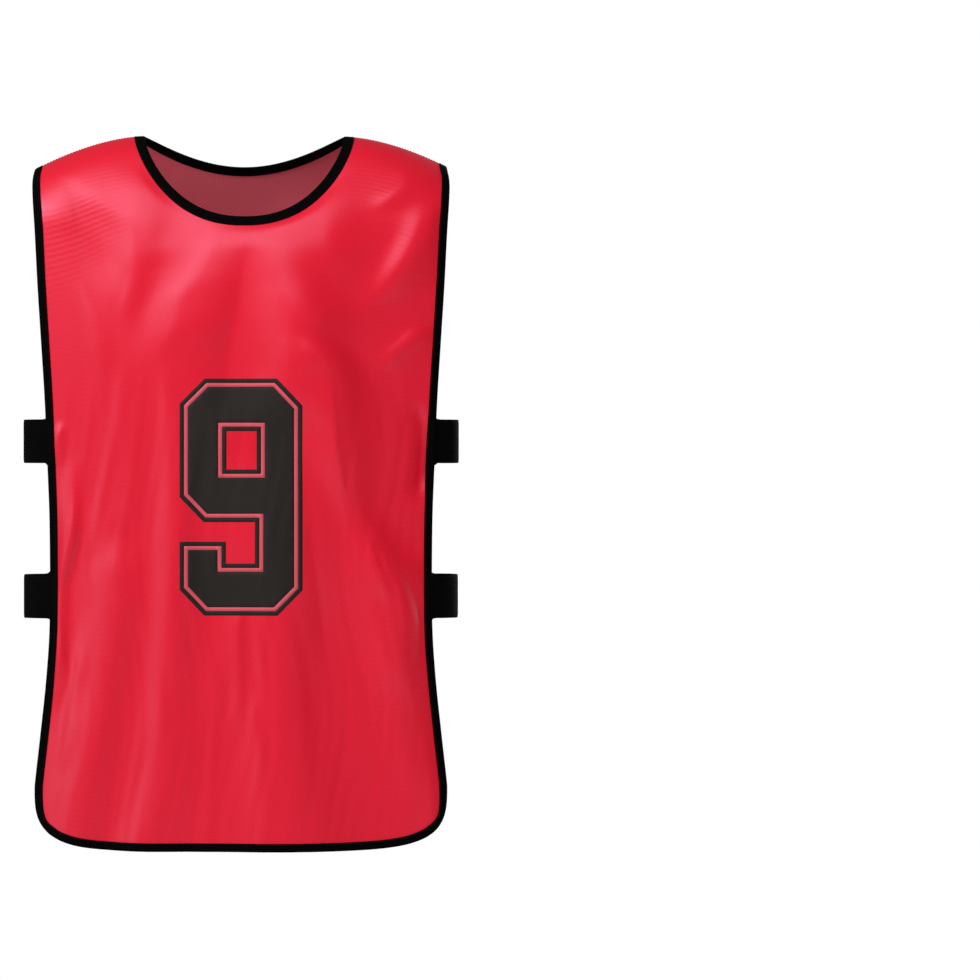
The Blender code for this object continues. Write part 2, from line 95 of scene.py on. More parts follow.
# Folds: height, widths to the left and right of the crest, crispness (2 is soft, 1 a sharp crease), then the
# crest's way down the cloth as rows of x, drop, share of the height and share of the width. A trough's height
# is negative.
frontFolds = [
    (3.4, 13, 18, 2, [(-97, 22, 0, 1.4), (-95, 60, 1.1, 1.6), (-101, 136, 0.4, 0.55),
        (-110, 172, 0.4, 0.55), (-112, 215, 0, 0.5)]),
    (-5.3, 11, 18, 2, [(-174, 40, 0, 1), (-164, 55, 0.4, 0.6), (-144, 102, 1.2, 1.4),
        (-128, 165, 0.45, 1), (-116, 210, 0, 1)]),
    (3.2, 17, 48, 1.8, [(-17, 88, 0, 0.8), (-23, 112, 1.05, 0.9), (-33, 136, 1.1, 1.1),
        (-51, 161, 1.05, 1), (-57, 185, 1.15, 1), (-76, 225, 0, 0.4)]),
    (-3.2, 18, 17, 1.6, [(-68, 110, 0, 1), (-81, 136, 0.75, 1.1), (-92, 165, 1.05, 1),
        (-97, 190, 0.75, 1.1), (-100, 228, 0, 1)]),
    (-7.7, 17, 37, 1.2, [(10, 100, 0, 1), (6, 122, 0.5, 1), (-2, 165, 0.75, 1), (-9, 200, 1, 0.9),
        (-12, 240, 1.15, 1.4), (-16, 300, 0, 1)]),
    (14.0, 29, 31, 1.9, [(37, 95, 0, 1), (37, 117, 0.4, 1.1), (49, 150, 0.85, 1.1), (59, 185, 1.2, 1.2),
        (51, 240, 1.05, 0.9), (52, 300, 0, 1)]),
    (10.0, 54, 26, 2, [(96, 25, 0, 1), (79, 70, 0.8, 1.4), (75, 110, 0.95, 1.2), (88, 150, 0.25, 1),
        (85, 205, 0, 1)]),
    (8.4, 16, 25, 1.9, [(185, 60, 0, 1), (178, 85, 0.75, 1), (164, 118, 1.1, 1), (146, 150, 0.7, 1),
        (124, 178, 0, 0.8)]),
    (4.0, 9, 16, 1.6, [(176, 185, 0, 1), (165, 200, 1.2, 1.1), (145, 220, 0.8, 1), (137, 238, 0, 1)]),
    (14.0, 23, 18, 1.9, [(70, 195, 0, 0.8), (90, 230, 1, 1), (94, 300, 0.95, 1.4), (113, 371, 0.6, 0.85),
        (147, 445, 1.2, 1.5), (154, 510, 1.05, 1.2), (163, 570, 0.6, 1.3), (182, 640, 0.55, 1.4),
        (185, 700, 0.4, 1.7)]),
    (-12.2, 10, 15, 1.6, [(167, 258, 0, 1), (180, 285, 0.65, 1), (182, 312, 1.2, 1), (176, 337, 0.8, 0.9),
        (169, 362, 0, 1)]),
    (-4.8, 7, 6, 1.5, [(147, 412, 0, 1), (162, 435, 0.55, 0.9), (177, 484, 1.2, 1.1), (169, 528, 0.4, 1),
        (170, 572, 0, 1)]),
    (8.0, 15, 20, 2, [(-77, 215, 0, 0.8), (-73, 250, 0.35, 0.45), (-66, 308, 0.65, 0.8),
        (-66, 406, 1.2, 0.85), (-68, 479, 1.2, 1), (-73, 553, 1, 1), (-78, 626, 0.9, 1.3),
        (-98, 700, 1.1, 1.4)]),
    (1.6, 6, 9, 1.7, [(-115, 215, 0, 1), (-115, 245, 0.9, 1), (-120, 290, 1, 1), (-130, 340, 0.95, 1),
        (-138, 380, 1.2, 1), (-144, 420, 0, 1)]),
    (2.6, 12, 8, 1.6, [(-94, 220, 0, 1), (-100, 258, 0.45, 0.95), (-104, 300, 0.85, 0.9),
        (-108, 350, 1, 1), (-119, 392, 1.1, 1.3), (-123, 450, 0, 1)]),
    (9.6, 23, 5, 1.5, [(-155, 305, 0, 1), (-162, 335, 0.35, 1), (-163, 385, 0.8, 1.1),
        (-175, 440, 0.95, 1), (-177, 500, 1.1, 1), (-178, 562, 0, 1)]),
    (11.8, 20, 17, 2, [(-118, 380, 0, 1), (-120, 430, 0.7, 1.2), (-128, 500, 0.85, 1.1),
        (-138, 560, 0.85, 1.1), (-149, 610, 1, 1.2), (-165, 700, 1.05, 1.3)]),
    (5.1, 20, 6, 1.4, [(-3, 450, 0, 1), (-2, 480, 0.95, 0.9), (-3, 540, 1.05, 1.2), (-2, 592, 0, 1)]),
    (13.1, 38, 38, 1.8, [(31, 290, 0, 0.9), (37, 380, 0.9, 1.2), (41, 470, 0.95, 0.75),
        (41, 560, 1.05, 0.75), (51, 700, 1.2, 1.3)]),
    (2.0, 12, 5, 1.6, [(20, 452, 0, 1), (19, 485, 1, 1.1), (15, 700, 0.65, 1)]),
    (1.1, 5, 5, 1.5, [(-28, 555, 0, 1), (-28, 592, 1, 1), (-34, 700, 1, 1)]),
    (2.7, 9, 16, 1.8, [(-152, 125, 0, 1), (-148, 160, 0.55, 1), (-138, 200, 1.1, 0.9),
        (-131, 242, 0.45, 1.1), (-140, 292, 0, 1)]),
    (4.4, 8, 5, 1.5, [(-174, 278, 0, 1), (-178, 300, 1.1, 1), (-176, 324, 0, 1)]),
    (3.5, 9, 18, 1.5, [(158, 30, 0, 1), (159, 45, 0.95, 1), (145, 62, 1, 1.2), (129, 82, 0, 1)]),
    (3.4, 4, 6, 1.5, [(-175, 395, 0, 1), (-179, 445, 1.05, 1), (-178, 500, 1, 1), (-172, 550, 0, 1)]),
    (2.8, 6, 9, 1.8, [(-148, 455, 0, 1), (-152, 490, 0.6, 0.95), (-158, 530, 1.15, 0.85),
        (-163, 570, 1.2, 1.3), (-175, 625, 0, 1)]),
    (2.1, 9, 4, 1.5, [(118, 382, 0, 1), (127, 410, 1, 1), (135, 435, 1, 1), (138, 458, 0, 1)]),
    (1.3, 9, 7, 1.5, [(145, 390, 0, 1), (154, 430, 0.8, 1), (163, 465, 1.1, 1.2), (173, 500, 0, 1)]),
    (2.3, 8, 4, 1.4, [(85, 225, 0, 1), (89, 285, 1.1, 1.1), (97, 340, 0.95, 1), (104, 405, 0, 1)]),
    (-1.4, 8, 5, 1.5, [(66, 330, 0, 1), (70, 400, 1.05, 1), (79, 480, 1.05, 1), (87, 565, 0, 1)]),
    (1.5, 13, 8, 1.6, [(149, 535, 0, 1), (154, 572, 1, 1), (158, 605, 0.9, 1), (162, 645, 0, 1)]),
    (-2.2, 6, 6, 1.5, [(-14, 498, 0, 1), (-11, 530, 0.8, 1), (-12, 552, 1.1, 1), (-18, 578, 0, 1)]),
    (1.6, 8, 7, 1.5, [(17, 535, 0, 1), (12, 572, 1.1, 1), (21, 610, 0.9, 1), (26, 700, 0.8, 1)]),
]
backFolds = [
    (6.5, 18, 22, 1.8, [(-118, 40, 0, 1.3), (-108, 90, 1, 1.2), (-98, 150, 1, 0.8), (-94, 215, 0.2, 0.6),
        (-96, 260, 0, 0.6)]),
    (7.0, 20, 16, 1.7, [(124, 34, 0, 1.3), (116, 80, 1, 1.2), (104, 140, 1, 0.9), (98, 200, 0.5, 0.7),
        (98, 262, 0, 0.6)]),
    (-4.0, 16, 12, 1.8, [(-58, 70, 0, 1), (-48, 110, 1, 1), (-30, 165, 0.8, 0.9), (-22, 230, 0, 0.8)]),
    (-3.5, 12, 18, 1.8, [(52, 78, 0, 1), (42, 120, 1, 1), (30, 175, 0.7, 0.9), (24, 235, 0, 0.8)]),
    (7.0, 22, 12, 1.6, [(-84, 210, 0, 0.8), (-88, 290, 0.9, 0.9), (-94, 400, 1, 1), (-104, 540, 1, 1.3),
        (-118, 700, 0.9, 1.6)]),
    (-5.0, 12, 18, 1.6, [(-58, 250, 0, 0.8), (-60, 350, 1, 1), (-66, 500, 1, 1.2), (-72, 700, 0.8, 1.5)]),
    (5.5, 10, 22, 1.6, [(-16, 280, 0, 0.8), (-20, 400, 1, 1), (-27, 560, 1, 1.3), (-32, 700, 0.9, 1.5)]),
    (-4.0, 8, 12, 1.5, [(14, 330, 0, 1), (12, 450, 1, 1), (8, 600, 1, 1.2), (6, 700, 0.8, 1.3)]),
    (6.0, 24, 10, 1.6, [(46, 250, 0, 0.8), (48, 380, 1, 1), (52, 540, 1, 1.2), (56, 700, 0.9, 1.4)]),
    (-5.5, 16, 12, 1.6, [(76, 300, 0, 0.8), (82, 420, 1, 1), (90, 560, 1, 1.3), (96, 700, 0.8, 1.5)]),
    (7.0, 14, 24, 1.6, [(100, 215, 0, 0.8), (108, 330, 1, 0.9), (120, 470, 1, 1.1), (136, 700, 0.9, 1.5)]),
    (-4.0, 9, 7, 1.4, [(-122, 285, 0, 1), (-138, 380, 1, 1), (-156, 470, 0.9, 1), (-168, 545, 0, 1)]),
    (-4.0, 7, 10, 1.4, [(136, 320, 0, 1), (150, 410, 1, 1), (164, 500, 0.8, 1), (172, 568, 0, 1)]),
    (3.0, 8, 6, 1.5, [(-148, 150, 0, 1), (-156, 200, 1, 1), (-166, 250, 0, 1)]),
    (3.0, 6, 8, 1.5, [(150, 132, 0, 1), (160, 190, 1, 1), (170, 246, 0, 1)]),
]


def unit(ways):
    return ways / np.linalg.norm(ways, axis=-1, keepdims=True)


def ease(value):
    value = np.clip(value, 0.0, 1.0)
    return value * value * (3.0 - 2.0 * value)


def smoothRows(rows, at):
    # the rows' other columns at values of their first one, on a smooth curve
    rows = np.asarray(rows, float)
    keys = rows[:, 0]
    low = np.clip(np.searchsorted(keys, at) - 1, 0, len(rows) - 2)
    before, after = np.maximum(low - 1, 0), np.minimum(low + 2, len(rows) - 1)
    span = keys[low + 1] - keys[low]
    share = np.clip((at - keys[low]) / span, 0.0, 1.0)[:, None]
    p1, p2 = rows[low, 1:], rows[low + 1, 1:]
    slope1 = (p2 - rows[before, 1:]) * (span / (keys[low + 1] - keys[before]))[:, None]
    slope2 = (rows[after, 1:] - p1) * (span / (keys[after] - keys[low]))[:, None]
    a = 2 * p1 - 2 * p2 + slope1 + slope2
    b = -3 * p1 + 3 * p2 - 2 * slope1 - slope2
    return ((a * share + b) * share + slope1) * share + p1


def shoulderDrop(x):
    # how far the shoulder seam has fallen at x
    out = np.maximum(0.0, np.abs(x - bib["neckShift"]) - bib["neckHalf"])
    share = out / (bib["shoulderHalf"] - bib["neckHalf"])
    return bib["shoulderTop"] + bib["shoulderFall"] * share ** bib["shoulderBend"]


def arch(x):
    # how far below the shoulder line the cloth has turned from level to hanging
    half = 0.5 * bib["neckHalf"]
    share = ease((np.abs(x) - half) / (bib["shoulderHalf"] - half))
    return bib["archAtNeck"] + (bib["archAtTip"] - bib["archAtNeck"]) * share


def toCloth(x, drop):
    # cloth coordinates of a point of the front view: x, and s down the cloth from the shoulder seam
    below = np.maximum(0.0, drop - shoulderDrop(x))
    turn = arch(x)
    onArch = np.arccos(np.clip(1.0 - below / turn, -1.0, 1.0)) * turn
    return np.stack([x, np.where(below < turn, onArch, turn * math.pi / 2 + below - turn)], axis=-1)


def foldHeight(folds, x, drop):
    # how far the folds lift the cloth outward
    total = np.zeros_like(x)
    for height, left, right, crispness, path in folds:
        rows = np.array([(d, px, rise, spread) for px, d, rise, spread in path]) * (mm, mm, 1, 1)
        crest, rise, spread = smoothRows(rows, drop).T
        rise = np.where((drop < rows[0, 0]) | (drop > rows[-1, 0]), 0.0, np.clip(rise, 0.0, 1.2))
        rise = rise**2 * (2.0 - rise)  # so that a fold begins and ends softly
        away = x - crest
        width = np.where(away < 0, left, right) * mm * np.maximum(spread, 0.2)
        # the rounded distance keeps a sharp crest from becoming a kink
        reach = np.sqrt((away / width) ** 2 + 0.01) - 0.1
        total += height * mm * rise * np.exp(-(reach**crispness))
    return total


def rippleHeight(side, x, drop):
    total = np.zeros_like(x)
    for height, width, wander, length, phase in ripples:
        way = x + wander * mm * np.sin(2 * math.pi * drop / (length * mm) + phase * side)
        uneven = 0.6 + 0.4 * np.sin(2 * math.pi * x / (5.3 * width * mm) + 3.0 * phase + 9.0 * drop)
        total += height * mm * uneven * np.sin(2 * math.pi * way / (width * mm) + phase)
    return total * ease((drop - rippleTop) / (rippleFull - rippleTop))


def surface(side, cloth):
    # points in the middle of the cloth's thickness
    x, s = cloth[:, 0], cloth[:, 1]
    turn = arch(x)
    angle = np.minimum(s / turn, math.pi / 2)
    below = np.where(angle < math.pi / 2, turn * (1.0 - np.cos(angle)), turn + s - turn * math.pi / 2)
    drop = shoulderDrop(x) + below
    half, inFront, behind, edge = smoothRows(sections, drop).T
    middle = inFront if side == front else behind
    across = np.abs(x) / half
    depth = (edge + (middle - edge) * (1.0 - across**2)) * np.sin(angle)
    inward = half - np.abs(x)
    aside = x - bib["neckShift"]
    neck = np.hypot(aside / bib["neckHalf"], drop / bib["neckDrop"][side])
    fromNeck = (neck - 1.0) * np.hypot(aside, drop) / np.maximum(neck, 0.1)
    fade = ease(inward / bib["fadeSide"]) * ease(below / bib["fadeSeam"]) * ease(fromNeck / bib["fadeNeck"])
    folds = foldHeight(frontFolds if side == front else backFolds, x, drop)
    depth += (folds + rippleHeight(side, x, drop)) * fade
    return np.stack([x, side * depth, -drop], axis=-1)


def slopes(side, cloth):
    # how the surface runs across and down the cloth, for each metre of cloth
    step = 0.4 * mm
    acrossStep, downStep = np.array([step, 0.0]), np.array([0.0, step])
    above = np.maximum(cloth - downStep, (-1.0, 0.0))
    below = cloth + downStep
    alongX = (surface(side, cloth + acrossStep) - surface(side, cloth - acrossStep)) / (2 * step)
    alongS = (surface(side, below) - surface(side, above)) / (below - above)[:, 1:2]
    return alongX, alongS


def outward(side, cloth):
    # the way square out of the cloth, off the body
    alongX, alongS = slopes(side, cloth)
    return unit(np.cross(alongX, alongS) * side)


def neckLine(side):
    # the neckline in the front view, from one shoulder to the other
    angle = np.linspace(0.0, math.pi, 400)
    powers = bib["neckPowers"][side]
    across = np.sign(np.cos(angle)) * np.abs(np.cos(angle)) ** (2.0 / powers[0])
    down = np.maximum(np.sin(angle), 0.0) ** (2.0 / powers[1])
    drop = bib["shoulderTop"] + (bib["neckDrop"][side] - bib["shoulderTop"]) * down
    return toCloth(bib["neckShift"] - across * bib["neckHalf"], drop)


def outerLine():
    # the outer edge in the front view, from the left shoulder tip round the hem to the right one
    halves = []
    for hand in (-1, 1):
        tipHalf = smoothRows(sections, np.array([shoulderDrop(hand * bib["shoulderHalf"])]))[0, 0]
        sideDrop = np.linspace(shoulderDrop(hand * tipHalf), bib["cornerStart"], 300, endpoint=False)
        sideHalf = np.concatenate([[tipHalf], smoothRows(sections, sideDrop[1:])[:, 0]])
        angle = np.linspace(0.0, math.pi / 2, 200)
        cornerHalf = bib["hemHalf"] * np.cos(angle).clip(0.0) ** (2.0 / bib["cornerPowers"][0])
        sideEnd = smoothRows(sections, np.array([bib["cornerStart"]]))[0, 0]
        cornerHalf += (sideEnd - bib["hemHalf"]) * (1.0 - ease(angle * 2.0))
        cornerFall = (bib["hemDrop"] - bib["cornerStart"]) * np.sin(angle) ** (2.0 / bib["cornerPowers"][1])
        half = np.concatenate([sideHalf, cornerHalf])
        halves.append(toCloth(hand * half, np.concatenate([sideDrop, bib["cornerStart"] + cornerFall])))
    left, right = halves
    return np.concatenate([left, right[-2::-1]])


def evenly(side, line, step):
    # a cloth line's points, spaced evenly on the form
    solid = surface(side, line)
    travelled = np.concatenate([[0.0], np.cumsum(np.linalg.norm(np.diff(solid, axis=0), axis=1))])
    wanted = np.linspace(0.0, travelled[-1], max(2, round(travelled[-1] / step)) + 1)
    return np.stack([np.interp(wanted, travelled, line[:, k]) for k in (0, 1)], axis=-1)


# Materials: colours are sRGB hex values, turned to linear in one place
def linear(hexColour):
    parts = [int(hexColour[i:i + 2], 16) / 255 for i in (1, 3, 5)]
    return tuple(c / 12.92 if c <= 0.04045 else ((c + 0.055) / 1.055) ** 2.4 for c in parts) + (1.0,)


def addNode(tree, kind, inputs=None, **settings):
    # adds a node, sets its own settings, then sets or links its inputs
    node = tree.nodes.new(kind)
    for key, value in settings.items():
        setattr(node, key, value)
    for key, value in (inputs or {}).items():
        if isinstance(value, bpy.types.NodeSocket):
            tree.links.new(value, node.inputs[key])
        else:
            node.inputs[key].default_value = value
    return node


def newMaterial(name, colour, **shaderValues):
    # a material whose shader has these values; an underscore stands for a space in a socket's name
    material = bpy.data.materials.new(name)
    material.use_nodes = True
    shader = material.node_tree.nodes["Principled BSDF"]
    shader.inputs["Base Color"].default_value = linear(colour)
    for key, value in shaderValues.items():
        shader.inputs[key.replace("_", " ")].default_value = value
    return material, material.node_tree, shader


def clothPlace(tree, perMillimetre, turned=0.0):
    # the piece's own cloth coordinates, so that a pattern follows the cloth and keeps its real size
    place = addNode(tree, "ShaderNodeUVMap", uv_map="cloth")
    scale = (1000 * perMillimetre[0], 1000 * perMillimetre[1], 1.0)
    return addNode(
        tree, "ShaderNodeMapping",
        {"Vector": place.outputs["UV"], "Scale": scale, "Rotation": (0, 0, turned)})


waveScale = 0.3183  # the wave texture's scale at which its bands come about once a unit

meshKnit = {
    "red": "#dd0c26",
    "palerRed": "#e1102a",
    # the two hole reds are painted shade: the pinholes are coloured darker where the shaded inside would show
    # through them
    "holeShadeRed": "#d90b24",
    "insideRed": "#d9606e",
    "insideHoleShadeRed": "#cc5563",
    "sheenPink": "#ffc4d8",
    "glossTint": "#f4d8ff",
    "faceRoughness": 0.41,   # calendered smooth, so it has a broad satin gloss
    "insideRoughness": 0.8,
    "faceSheen": 0.03,
    "insideSheen": 0.1,
    "holePitch": 3.6,    # mm between pinholes: the real 1.8 mm would be finer than a pixel
    "wale": 3.6,         # mm between the knit's upright ribs, drawn as coarse as the holes
    "mottle": 46.0,      # mm, the drift of the dye's depth
    "crimp": 5.2,        # mm between the fine creases that folding left near the shoulder tips
    "crimpDepth": 0.08 * mm,
    "crimpSlant": math.radians(-66),
    "crimpPlace": (158.0 * mm, 120.0 * mm, 0.0),  # across, and down the cloth from the seam
    "crimpReach": 74.0 * mm,
}


def knitMaterial(name, colour, palerColour, holeShadeColour, roughness, sheen):
    # polyester warp-knit mesh, heat set and calendered: a broad satin gloss on the face and rows of pinholes
    material, tree, shader = newMaterial(
        name, colour, Roughness=roughness, Sheen_Weight=sheen, Sheen_Roughness=0.35, Specular_IOR_Level=0.7,
        Sheen_Tint=linear(meshKnit["sheenPink"]), Specular_Tint=linear(meshKnit["glossTint"]))
    pitch = meshKnit["holePitch"]
    # pinholes stand in slanting rows, and their rims are a little lower than the knit and darker with painted
    # shade, which stands for the shaded inside seen through the holes
    place = clothPlace(tree, (1 / pitch, 1 / pitch), math.pi / 4)
    holes = addNode(
        tree, "ShaderNodeTexVoronoi", {"Vector": place.outputs[0], "Scale": 1.0, "Randomness": 0.0})
    rim = addNode(
        tree, "ShaderNodeMapRange", {"Value": holes.outputs["Distance"], "From Min": 0.12, "From Max": 0.34},
        interpolation_type="SMOOTHSTEP")
    waleWay = clothPlace(tree, (1 / meshKnit["wale"], 0.12 / meshKnit["wale"]))
    wales = addNode(
        tree, "ShaderNodeTexWave",
        {"Vector": waleWay.outputs[0], "Scale": waveScale, "Distortion": 0.6, "Detail": 1.0})
    drift = clothPlace(tree, (1 / meshKnit["mottle"], 1 / meshKnit["mottle"]))
    mottle = addNode(
        tree, "ShaderNodeTexNoise",
        {"Vector": drift.outputs[0], "Scale": 1.0, "Detail": 3.0, "Roughness": 0.55})
    dye = addNode(
        tree, "ShaderNodeMix", {0: mottle.outputs["Fac"], 6: linear(colour), 7: linear(palerColour)},
        data_type="RGBA")
    # painted shade: the pinholes take the darker hole red
    holeShaded = addNode(
        tree, "ShaderNodeMix", {0: rim.outputs[0], 6: linear(holeShadeColour), 7: dye.outputs[2]},
        data_type="RGBA")
    tree.links.new(holeShaded.outputs[2], shader.inputs["Base Color"])
    height = addNode(tree, "ShaderNodeMath", {0: rim.outputs[0], 1: 0.6}, operation="MULTIPLY")
    ribbed = addNode(
        tree, "ShaderNodeMath", {0: wales.outputs["Fac"], 1: 0.25, 2: height.outputs[0]},
        operation="MULTIPLY_ADD")
    bump = addNode(
        tree, "ShaderNodeBump", {"Height": ribbed.outputs[0], "Strength": 0.09, "Distance": 0.2 * mm})
    # crimps die out away from one place by each shoulder tip, mirrored from one side to the other
    cloth = addNode(tree, "ShaderNodeUVMap", uv_map="cloth")
    bothHands = addNode(tree, "ShaderNodeVectorMath", {0: cloth.outputs[0]}, operation="ABSOLUTE")
    fromTip = addNode(
        tree, "ShaderNodeVectorMath", {0: bothHands.outputs[0], 1: meshKnit["crimpPlace"]},
        operation="DISTANCE")
    near = addNode(
        tree, "ShaderNodeMapRange",
        {"Value": fromTip.outputs["Value"], "From Min": 0.2 * meshKnit["crimpReach"],
         "From Max": meshKnit["crimpReach"], "To Min": 1.0, "To Max": 0.0})
    crimpWay = addNode(
        tree, "ShaderNodeMapping",
        {"Vector": bothHands.outputs[0], "Scale": (1000 / meshKnit["crimp"],) * 3,
         "Rotation": (0, 0, meshKnit["crimpSlant"])})
    crimps = addNode(
        tree, "ShaderNodeTexWave",
        {"Vector": crimpWay.outputs[0], "Scale": waveScale, "Distortion": 3.5, "Detail": 2.0,
         "Detail Scale": 0.25})
    crimped = addNode(
        tree, "ShaderNodeMath", {0: crimps.outputs["Fac"], 1: near.outputs[0]}, operation="MULTIPLY")
    creased = addNode(
        tree, "ShaderNodeBump",
        {"Height": crimped.outputs[0], "Strength": 1.0, "Distance": meshKnit["crimpDepth"],
         "Normal": bump.outputs[0]})
    tree.links.new(creased.outputs[0], shader.inputs["Normal"])
    return material


# Black trims, each with the spacing of its pattern in mm
trims = {
    "black": "#020202",
    "roughness": 0.9,
    "gloss": 0.04,
    "twill": 1.1,        # between the tape's slanting lines, twice the real spacing so that they show
    "twillBlacks": ("#010101", "#060607"),
    "rib": 2.1,          # between the elastic's rubber strands
    "ribLoop": 0.9,      # between the knit loops along a strand
    "ribBlacks": ("#010101", "#070708"),
    "ply": 0.5,          # between the turns of the thread's two plies
}


def tapeMaterial():
    # woven polyester bias tape, pressed flat: deep matt black with a fine diagonal twill
    material, tree, shader = newMaterial(
        "blackBiasTape", trims["black"], Roughness=trims["roughness"], Specular_IOR_Level=trims["gloss"])
    place = clothPlace(tree, (1 / trims["twill"], 1 / trims["twill"]), math.radians(38))
    twill = addNode(
        tree, "ShaderNodeTexWave",
        {"Vector": place.outputs[0], "Scale": waveScale, "Distortion": 0.4, "Detail": 1.0})
    low, high = (linear(black) for black in trims["twillBlacks"])
    tone = addNode(tree, "ShaderNodeMix", {0: twill.outputs["Fac"], 6: low, 7: high}, data_type="RGBA")
    tree.links.new(tone.outputs[2], shader.inputs["Base Color"])
    bump = addNode(
        tree, "ShaderNodeBump", {"Height": twill.outputs["Fac"], "Strength": 0.5, "Distance": 0.15 * mm})
    tree.links.new(bump.outputs[0], shader.inputs["Normal"])
    return material


def elasticMaterial():
    # knitted elastic: rubber strands under black polyester, which stand as ribs along its length
    material, tree, shader = newMaterial(
        "blackRibbedElastic", trims["black"], Roughness=trims["roughness"], Specular_IOR_Level=trims["gloss"])
    place = clothPlace(tree, (0.1, 1 / trims["rib"]))
    ribs = addNode(
        tree, "ShaderNodeTexWave", {"Vector": place.outputs[0], "Scale": waveScale}, bands_direction="Y")
    cross = clothPlace(tree, (1 / trims["ribLoop"], 1 / trims["rib"]))
    loops = addNode(
        tree, "ShaderNodeTexVoronoi", {"Vector": cross.outputs[0], "Scale": 1.0, "Randomness": 0.25})
    low, high = (linear(black) for black in trims["ribBlacks"])
    tone = addNode(tree, "ShaderNodeMix", {0: ribs.outputs["Fac"], 6: low, 7: high}, data_type="RGBA")
    tree.links.new(tone.outputs[2], shader.inputs["Base Color"])
    height = addNode(
        tree, "ShaderNodeMath", {0: loops.outputs["Distance"], 1: -0.4, 2: ribs.outputs["Fac"]},
        operation="MULTIPLY_ADD")
    bump = addNode(
        tree, "ShaderNodeBump", {"Height": height.outputs[0], "Strength": 0.7, "Distance": 0.4 * mm})
    tree.links.new(bump.outputs[0], shader.inputs["Normal"])
    return material


def threadMaterial(name, colour):
    # spun polyester sewing thread: two plies whose twist shows as slanting lines
    material, tree, shader = newMaterial(name, colour, Roughness=0.7, Specular_IOR_Level=0.12)
    place = clothPlace(tree, (1 / trims["ply"], 1 / trims["ply"]), math.radians(30))
    plies = addNode(tree, "ShaderNodeTexWave", {"Vector": place.outputs[0], "Scale": waveScale})
    bump = addNode(
        tree, "ShaderNodeBump", {"Height": plies.outputs["Fac"], "Strength": 0.6, "Distance": 0.1 * mm})
    tree.links.new(bump.outputs[0], shader.inputs["Normal"])
    return material


def inkMaterial(name, colour, roughness):
    # screen-printed plastisol ink: a thin rubbery film, in which the knit's pinholes still show a little
    material, tree, shader = newMaterial(name, colour, Roughness=roughness, Specular_IOR_Level=0.2)
    place = clothPlace(tree, (1 / meshKnit["holePitch"], 1 / meshKnit["holePitch"]), math.pi / 4)
    holes = addNode(
        tree, "ShaderNodeTexVoronoi", {"Vector": place.outputs[0], "Scale": 1.0, "Randomness": 0.0})
    dents = addNode(
        tree, "ShaderNodeMapRange", {"Value": holes.outputs["Distance"], "From Min": 0.05, "From Max": 0.3})
    bump = addNode(
        tree, "ShaderNodeBump", {"Height": dents.outputs[0], "Strength": 0.3, "Distance": 0.15 * mm})
    tree.links.new(bump.outputs[0], shader.inputs["Normal"])
    return material


def floorMaterial():
    # matt photographer's paper, close to white
    material, tree, shader = newMaterial("studioPaper", "#f4f3f1", Roughness=0.9, Specular_IOR_Level=0.1)
    place = addNode(tree, "ShaderNodeTexCoord")
    grain = addNode(
        tree, "ShaderNodeTexNoise", {"Vector": place.outputs["Object"], "Scale": 90.0, "Detail": 4.0})
    bump = addNode(
        tree, "ShaderNodeBump", {"Height": grain.outputs["Fac"], "Strength": 0.05, "Distance": 1.0 * mm})
    tree.links.new(bump.outputs[0], shader.inputs["Normal"])
    return material


knitFace = knitMaterial(
    "polyesterMeshKnit", meshKnit["red"], meshKnit["palerRed"], meshKnit["holeShadeRed"],
    meshKnit["faceRoughness"], meshKnit["faceSheen"])
knitInside = knitMaterial(
    "polyesterMeshKnitInside", meshKnit["insideRed"], meshKnit["insideRed"], meshKnit["insideHoleShadeRed"],
    meshKnit["insideRoughness"], meshKnit["insideSheen"])
blackTape = tapeMaterial()
blackElastic = elasticMaterial()
blackThread = threadMaterial("blackSewingThread", "#080809")
redThread = threadMaterial("redSewingThread", "#d81b3a")
blackInk = inkMaterial("blackPlastisolInk", "#241f1d", 0.7)
paleInk = inkMaterial("paleRedPlastisolInk", "#d0525f", 0.6)
print("materials made:", len(bpy.data.materials))


def addPiece(name, points, faces, uv, materials, slots=None, stands=()):
    # makes a smooth mesh, gives it its cloth coordinates in metres, and hands it to the frame
    mesh = bpy.data.meshes.new(name)
    mesh.from_pydata([tuple(p) for p in points], [], [tuple(int(i) for i in f) for f in faces])
    layer = mesh.uv_layers.new(name="cloth")
    corners = np.empty(len(mesh.loops), dtype=np.int32)
    mesh.loops.foreach_get("vertex_index", corners)
    layer.data.foreach_set("uv", np.asarray(uv, float)[corners].ravel())
    for material in materials:
        mesh.materials.append(material)
    if slots is not None:
        mesh.polygons.foreach_set("material_index", np.asarray(slots, dtype=np.int32))
    mesh.shade_smooth()
    mesh.update()
    piece = bpy.data.objects.new(name, mesh)
    bpy.context.scene.collection.objects.link(piece)
    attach(piece, "root")
    if stands:
        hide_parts(*stands)
    return piece


def boundaryEdges(faces):
    # the edges that only one triangle has, in its own direction
    edges = np.concatenate([faces[:, [0, 1]], faces[:, [1, 2]], faces[:, [2, 0]]])
    _, index, count = np.unique(np.sort(edges, axis=1), axis=0, return_inverse=True, return_counts=True)
    return edges[count[index.reshape(-1)] == 1]


def layered(side, cloth, faces, outerLift, innerLift):
    # a closed thin shell over triangles of cloth points; the third result is 1 for faces of the inner layer
    middle, way = surface(side, cloth), outward(side, cloth)
    points = np.concatenate([middle + way * outerLift, middle + way * innerLift])
    count = len(cloth)
    turned = faces if side == front else faces[:, ::-1]
    rim = [(b, a, a + count, b + count) for a, b in boundaryEdges(turned)]
    inner = turned[:, ::-1] + count
    allFaces = [tuple(f) for f in turned] + [tuple(f) for f in inner] + rim
    slots = [0] * len(turned) + [1] * len(inner) + [0] * len(rim)
    return points, allFaces, slots, np.concatenate([cloth, cloth])


